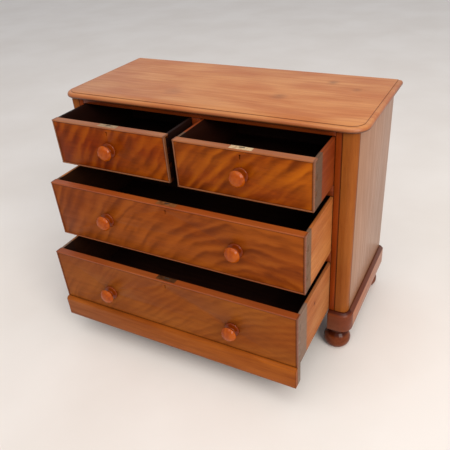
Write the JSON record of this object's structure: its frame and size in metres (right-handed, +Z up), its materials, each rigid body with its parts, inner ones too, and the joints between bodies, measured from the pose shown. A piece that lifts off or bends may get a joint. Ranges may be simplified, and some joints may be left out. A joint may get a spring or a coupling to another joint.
{
  "type": "miniature chest of drawers",
  "caption": "Miniature birch chest of drawers, short drawers over long ones, all sliding, with turned knobs, rounded corners, plinth and bun feet.",
  "frame": {"origin": "on the floor, at the middle of the box round the chest as stored, with its drawers pulled out", "axes": "+X to the chest's left-hand side as it faces you, that is to the viewer's right; +Y from the drawer fronts to the back; +Z up"},
  "size_m": [0.359, 0.2566, 0.277],
  "materials": {
    "birch_top": "waxed",
    "birch_side": "waxed",
    "birch_post": "waxed",
    "birch_plinth": "waxed",
    "birch_turned": "waxed",
    "birch_front": "waxed, ripple figured",
    "birch_bead": "waxed",
    "birch_knob": "polished",
    "drawer_lining": "bare, aged",
    "pine_inside": "bare, aged",
    "lock_brass": "dulled",
    "lock_steel": "dulled"
  },
  "bodies": {
    "carcass": {"top_board": "birch_top", "side_left": "birch_side", "side_right": "birch_side", "back_boards": "pine_inside", "corner_post_left": "birch_post", "corner_post_right": "birch_post", "stile_left": "birch_post", "stile_right": "birch_post", "top_rail": "birch_post", "upper_rail": "birch_post", "lower_rail": "birch_post", "centre_divider": "birch_post", "bottom_board": "pine_inside", "drawer_runners": "pine_inside", "drawer_stops": "pine_inside", "plinth_side_left": "birch_plinth", "plinth_side_right": "birch_plinth", "plinth_corner_left": "birch_plinth", "plinth_corner_right": "birch_plinth", "foot_front_left": "birch_turned", "foot_front_right": "birch_turned", "foot_rear_left": "birch_turned", "foot_rear_right": "birch_turned"},
    "drawer_top_left": {"top_left_front": "birch_front", "top_left_side_left": "drawer_lining", "top_left_side_right": "drawer_lining", "top_left_back": "drawer_lining", "top_left_bottom": "drawer_lining", "top_left_cockbead": "birch_bead", "top_left_knob": "birch_knob", "top_left_lock": "lock_brass"},
    "bolt_top_left": {"top_left_lock_bolt": "lock_steel"},
    "drawer_top_right": {"top_right_front": "birch_front", "top_right_side_left": "drawer_lining", "top_right_side_right": "drawer_lining", "top_right_back": "drawer_lining", "top_right_bottom": "drawer_lining", "top_right_cockbead": "birch_bead", "top_right_knob": "birch_knob", "top_right_lock": "lock_brass"},
    "bolt_top_right": {"top_right_lock_bolt": "lock_steel"},
    "drawer_middle": {"middle_front": "birch_front", "middle_side_left": "drawer_lining", "middle_side_right": "drawer_lining", "middle_back": "drawer_lining", "middle_bottom": "drawer_lining", "middle_cockbead": "birch_bead", "middle_knobs": "birch_knob", "middle_lock": "lock_brass"},
    "bolt_middle": {"middle_lock_bolt": "lock_steel"},
    "drawer_bottom": {"bottom_front": "birch_front", "bottom_side_left": "drawer_lining", "bottom_side_right": "drawer_lining", "bottom_back": "drawer_lining", "bottom_bottom": "drawer_lining", "bottom_cockbead": "birch_bead", "bottom_knobs": "birch_knob", "bottom_lock": "lock_brass", "bottom_plinth": "birch_plinth"},
    "bolt_bottom": {"bottom_lock_bolt": "lock_steel"}
  },
  "joints": [
    {"name": "top_left_slide", "type": "slide", "parent": "carcass", "child": "drawer_top_left", "axis": [0, -1, 0], "range_m": [-0.0521, 0.0479]},
    {"name": "top_right_slide", "type": "slide", "parent": "carcass", "child": "drawer_top_right", "axis": [0, -1, 0], "range_m": [-0.0556, 0.0444]},
    {"name": "middle_slide", "type": "slide", "parent": "carcass", "child": "drawer_middle", "axis": [0, -1, 0], "range_m": [-0.076, 0.024]},
    {"name": "bottom_slide", "type": "slide", "parent": "carcass", "child": "drawer_bottom", "axis": [0, -1, 0], "range_m": [-0.0958, 0.0082]},
    {"name": "top_left_bolt_throw", "type": "slide", "parent": "drawer_top_left", "child": "bolt_top_left", "axis": [0, 0, 1], "range_m": [0, 0.0022]},
    {"name": "top_right_bolt_throw", "type": "slide", "parent": "drawer_top_right", "child": "bolt_top_right", "axis": [0, 0, 1], "range_m": [0, 0.0022]},
    {"name": "middle_bolt_throw", "type": "slide", "parent": "drawer_middle", "child": "bolt_middle", "axis": [0, 0, 1], "range_m": [0, 0.0022]},
    {"name": "bottom_bolt_throw", "type": "slide", "parent": "drawer_bottom", "child": "bolt_bottom", "axis": [0, 0, 1], "range_m": [0, 0.0022]}
  ]
}
